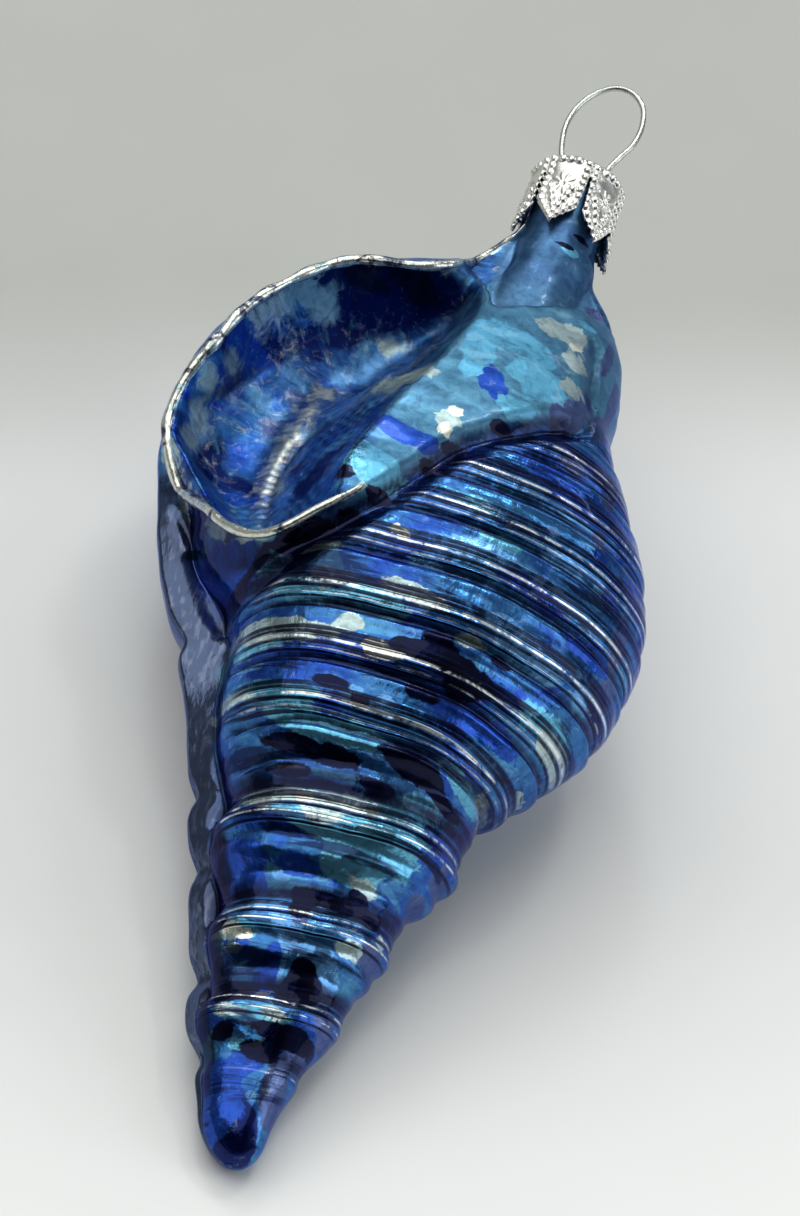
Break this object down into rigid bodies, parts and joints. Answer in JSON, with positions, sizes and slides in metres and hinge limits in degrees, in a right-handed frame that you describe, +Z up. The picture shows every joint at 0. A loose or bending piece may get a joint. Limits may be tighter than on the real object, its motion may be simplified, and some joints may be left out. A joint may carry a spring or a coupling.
{
  "type": "glass turret shell ornament",
  "caption": "hollow blown-glass hanging ornament in the form of a spiral turret shell with an open mouth, ribbed body, embossed crown cap and wire hanging loop",
  "frame": {"origin": "under the middle of the ornament's box, on the surface that it lies on", "axes": "+X towards the whorls' right side, +Y from the pointed tip towards the capped neck, +Z up, the mouth facing up"},
  "size_m": [0.0608, 0.144, 0.0387],
  "materials": {
    "lacquered_glass": "silvered inside and lacquered in mottled cobalt, teal and steel blue, glossy",
    "cap_metal": "thin stamped metal, bright silver",
    "wire_metal": "bright spring wire"
  },
  "bodies": {
    "root": {"glass_shell": "lacquered_glass", "cap": "cap_metal", "wire_loop": "wire_metal"}
  },
  "joints": []
}
